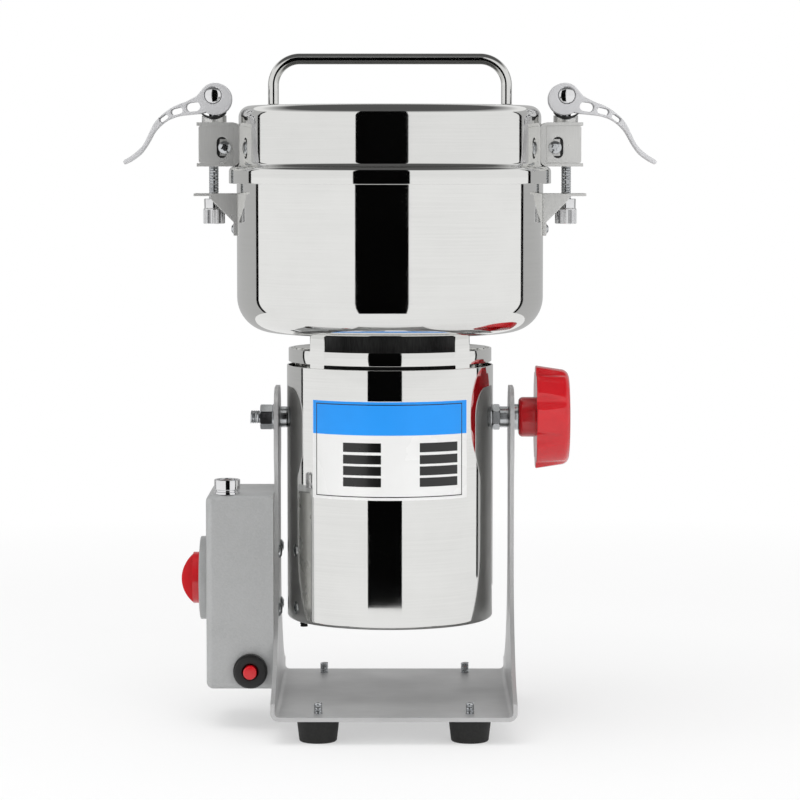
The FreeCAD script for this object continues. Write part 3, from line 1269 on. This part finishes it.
# Lever: a round cam that runs out into an arm with a knee and a flared tip.
root_drop = s.cam_down + s.cam_radius * 0.72
tip_rise = s.lever_drop + s.heel_thick * 0.8
lever_arm = padded("lever_arm", "XZ_Plane", [
    (s.cam_radius * 0.63, s.cam_radius * 0.41),
    (-s.cam_in, -s.cam_down),
    (s.cam_radius * 0.88, -root_drop),
    (s.knee_out * 0.62, -s.knee_drop - s.knee_thick * 0.62),
    (s.knee_out, -s.knee_drop - s.knee_thick),
    (s.knee_out * 1.5, -s.knee_drop - s.knee_thick * 2.55, s.knee_out, False),
    (s.heel_out + s.heel_thick * 0.2, -s.heel_drop - s.heel_thick * 1.3),
    (s.lever_reach * 0.905, -s.lever_drop - s.heel_thick * 0.15, s.heel_out * 0.4, True),
    (s.lever_reach - s.heel_thick * 0.3, -tip_rise),
    (s.lever_reach, -s.lever_drop),
    (s.heel_out + s.heel_thick * 1.95, -s.lever_drop + s.heel_thick * 1.2),
    (s.heel_out - s.heel_thick * 0.36, -s.heel_drop + s.heel_thick * 0.7,
     s.heel_out * 0.3, False),
    (s.knee_out * 1.52, -s.knee_drop - s.knee_thick * 2.0),
    (s.knee_out * 0.96, -s.knee_drop + s.knee_thick * 0.06, s.knee_out * 0.9, True),
    (s.cam_radius * 1.35, -s.knee_drop * 0.42),
], s.lever_width)
place(lever_arm, (ROD_X, 0, PIN))
lever_cam = cylinder("lever_cam", s.cam_radius, s.lever_width,
                     (ROD_X - s.cam_in, -s.lever_width / 2, PIN - s.cam_down), ALONG_Y)
pin_bore = cylinder("pin_bore", s.pin_barrel + s.bore_gap, s.lever_width + 2 * PAST,
                    (ROD_X, -s.lever_width / 2 - PAST, PIN), ALONG_Y)
fork_room = block("fork_room", (ROD_X - 2 * s.cam_radius, -s.fork_gap / 2, PIN - s.lever_drop),
                  (2 * s.cam_radius + s.seat_radius + 1.3, s.fork_gap, 2 * s.lever_drop))
# Three oval holes lighten the arm, each smaller than the last.
lever_holes = []
for out, drop, long_way, short_way in ((10.9, 7.2, 8.8, 6.0), (21.0, 9.8, 7.0, 4.0),
                                       (28.6, 14.1, 5.6, 3.4)):
    slope = 35.0 if out > s.knee_out.value else 12.0
    hole = oblong("lever_hole", long_way, short_way, s.lever_width + 2 * PAST)
    place(hole, (ROD_X + out, 0, PIN - drop), Rotation(Vector(0, 1, 0), slope))
    lever_holes.append(hole)
lever_right = cut("lever_right", fuse("lever_blank", lever_arm, lever_cam), pin_bore, fork_room,
                  *lever_holes)

nut_low = NUT_TOP - s.nut_neck - s.nut_length
nut_height = s.nut_length + s.nut_neck
nut_right = turned("nut_right", [
    (s.rod_radius + s.bore_gap, 0),
    (s.nut_radius, 0),
    (s.nut_radius, s.nut_length),
    (s.nut_neck_radius * 0.92, s.nut_length + 1.0),
    (s.nut_neck_radius, nut_height),
    (s.rod_radius + s.bore_gap, nut_height),
], (ROD_X, 0, nut_low))

# The finished pieces, each under its own name.
PIECES = {
    "stand_frame": cut("stand_drilled", stand_frame, *frame_tools),
    "rubber_feet": group("rubber_feet", feet),
    "foot_bolts": group("foot_bolts", bolts),
    "box_housing": box_housing,
    "box_back_plate": cut("box_back_plate", back_blank, *back_tools),
    "box_screws": group("box_screws", box_screws),
    "dial_plate": cut("dial_plate", dial_blank, dial_bore),
    "timer_body": cut("timer_body", timer_blank, timer_socket),
    "timer_knob": fuse("timer_knob", knob_disc, knob_fin, timer_shaft),
    "breaker_body": cut("breaker_body", breaker_blank, breaker_socket),
    "breaker_ring": cut("breaker_ring", breaker_ring_blank, breaker_ring_bore),
    "reset_button": reset_button,
    "inlet_socket": inlet_socket,
    "inlet_insulator": cut("inlet_insulator", inlet_blank, *pin_sinks),
    "inlet_pins": group("inlet_pins", pins),
    "pivot_washers": group("pivot_washers", washers),
    "lock_stud": lock_stud,
    "lock_knob": cut("lock_knob", lock_blank, lock_socket, *grooves),
    "pivot_stud": pivot_stud,
    "pivot_nuts": group("pivot_nuts", [left_nut, right_nut]),
    "pivot_bushes": group("pivot_bushes", [left_bush, right_bush]),
    "trunnion_ring": trunnion,
    "motor_can": cut("motor_can", can_shell, can_stud_hole, gland_hole, *screw_holes),
    "can_base_cover": cut("can_base_cover", cover_blank, cover_gland_hole, *screw_holes, *vents),
    "cover_screws": group("cover_screws", cover_screws),
    "cable_gland": cable_gland,
    "neck_collar": cut("neck_collar", collar_shell, *window_blanks),
    "end_bell_upper": end_bell_upper,
    "end_bell_lower": end_bell_lower,
    "stator_core": stator_core,
    "field_coils": group("field_coils", coils),
    "brush_holders": group("brush_holders", holders),
    "carbon_brushes": group("carbon_brushes", brushes),
    "shaft_bearings": group("shaft_bearings", bearings),
    "shaft_seal": shaft_seal,
    "bowl": cut("bowl", bowl_form, bowl_space, bowl_hole),
    "name_plate": cut("name_plate", label_blank, label_space),
    "lid": lid,
    "lid_handle": fuse("lid_handle", *handle_parts),
    "lid_seal": lid_seal,
    "lid_brackets": both_sides("lid_brackets", bracket_right),
    "bracket_cheeks": group("bracket_cheeks", cheeks),
    "cheek_screws": group("cheek_screws", cheek_screws),
    "seat_rings": both_sides("seat_rings", seat_ring),
    "fork_brackets": both_sides("fork_brackets", fork_right),
    "fork_rivets": group("fork_rivets", rivets),
    "motor_shaft": motor_shaft,
    "rotor_core": rotor_core,
    "commutator": commutator,
    "cooling_fan": cut("cooling_fan", fuse("fan_blank", *fan_parts), fan_bore),
    "grinding_blades": group("grinding_blades", [
        cut("upper_blade_bored", upper_blade, blade_bores[0]),
        cut("lower_blade_bored", crossed_blade, blade_bores[1]),
        cut("spacer_bored", blade_spacer, blade_bores[2]),
    ]),
    "blade_nut": blade_nut,
}
for name, right in (("clamp_rod", rod_right), ("clamp_saddle", saddle_right),
                    ("clamp_lever", lever_right), ("clamp_nut", nut_right)):
    PIECES[name + "_right"] = right
    PIECES[name + "_left"] = mirrored(name + "_left", right)

doc.recompute()
for name, piece in PIECES.items():
    piece.Label = name
for obj in doc.Objects:
    if "Invalid" in obj.State or "Error" in obj.State:
        raise RuntimeError(f"{obj.Name} ({obj.Label}) failed: {obj.State}")
for name, piece in PIECES.items():
    shape = piece.Shape
    if shape.isNull() or not shape.isValid() or shape.Volume <= 0:
        raise RuntimeError(f"{name} has no sound shape")

os.makedirs("parts", exist_ok=True)
whole = FreeCAD.BoundBox()
for name, piece in PIECES.items():
    piece.Shape.exportStep(f"parts/{name}.step")
    whole.add(piece.Shape.BoundBox)
    print(f"{name}: {len(piece.Shape.Solids)} solids, {piece.Shape.Volume / 1000:.2f} cm3")
print(f"{len(PIECES)} nodes, {whole.XLength:.1f} x {whole.YLength:.1f} x {whole.ZLength:.1f} mm")
